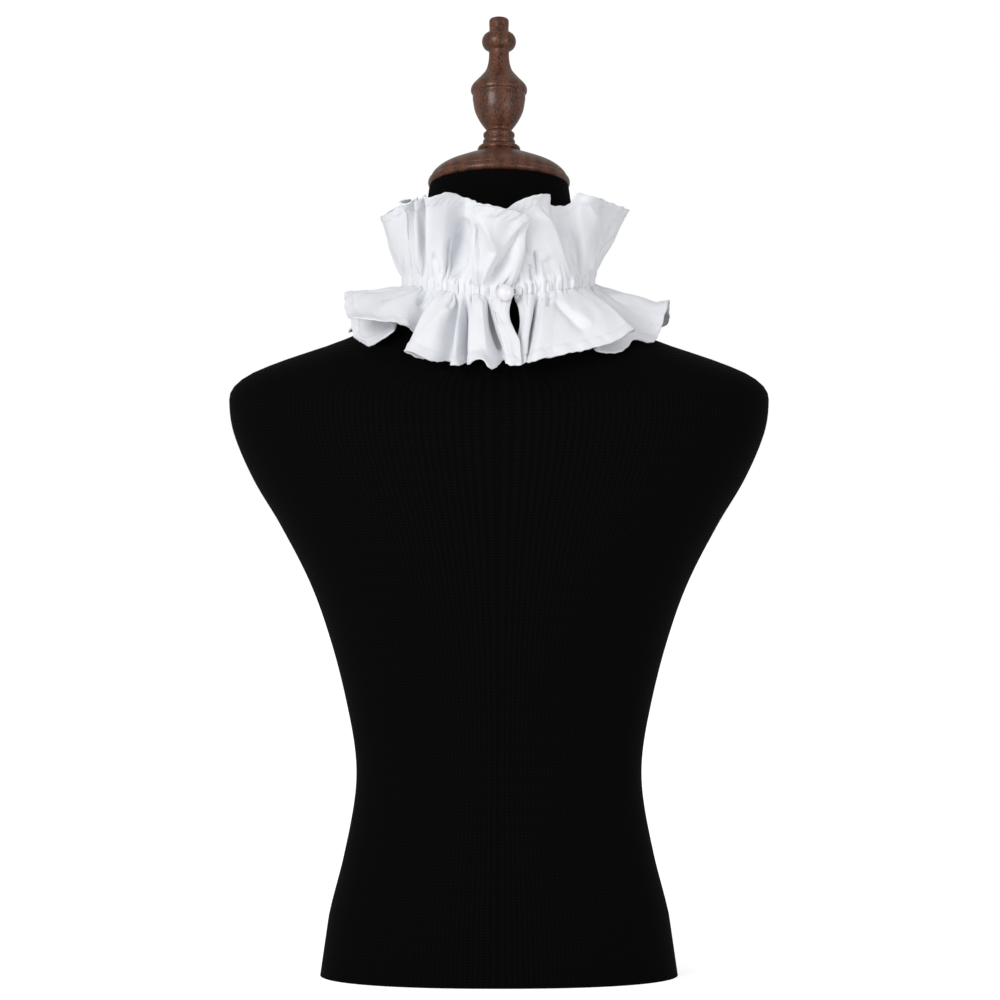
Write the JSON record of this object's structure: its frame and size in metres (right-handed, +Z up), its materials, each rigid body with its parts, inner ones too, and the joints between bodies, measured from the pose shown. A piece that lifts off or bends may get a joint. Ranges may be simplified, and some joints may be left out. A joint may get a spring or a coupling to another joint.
{
  "type": "ruffled collar on a dress form",
  "caption": "Gathered ruffle collar with a standing and a falling frill, buttoned at the back, on a limbless dress form with a turned wooden neck cap and finial.",
  "frame": {"origin": "centre of the dress form's flat base", "axes": "+Z up through the neck; -Y out of the back, where the collar buttons; +Y out of the chest; +X to the right when the back is looked at"},
  "size_m": [0.4036, 0.2407, 0.7211],
  "materials": {
    "white_cotton": "crisp plain-woven cotton, matt",
    "white_thread": "twisted cotton thread, matt",
    "pearl": "pearl lacquer, glossy",
    "black_jersey": "fine black jersey knit, matt",
    "walnut_stain": "dark walnut stain under satin varnish"
  },
  "bodies": {
    "root": {"standing_frill": "white_cotton", "falling_frill": "white_cotton", "gather_band": "white_cotton", "pearl_button": "pearl", "button_loop": "white_thread", "form_torso": "black_jersey", "neck_cap": "walnut_stain", "finial": "walnut_stain"}
  },
  "joints": []
}
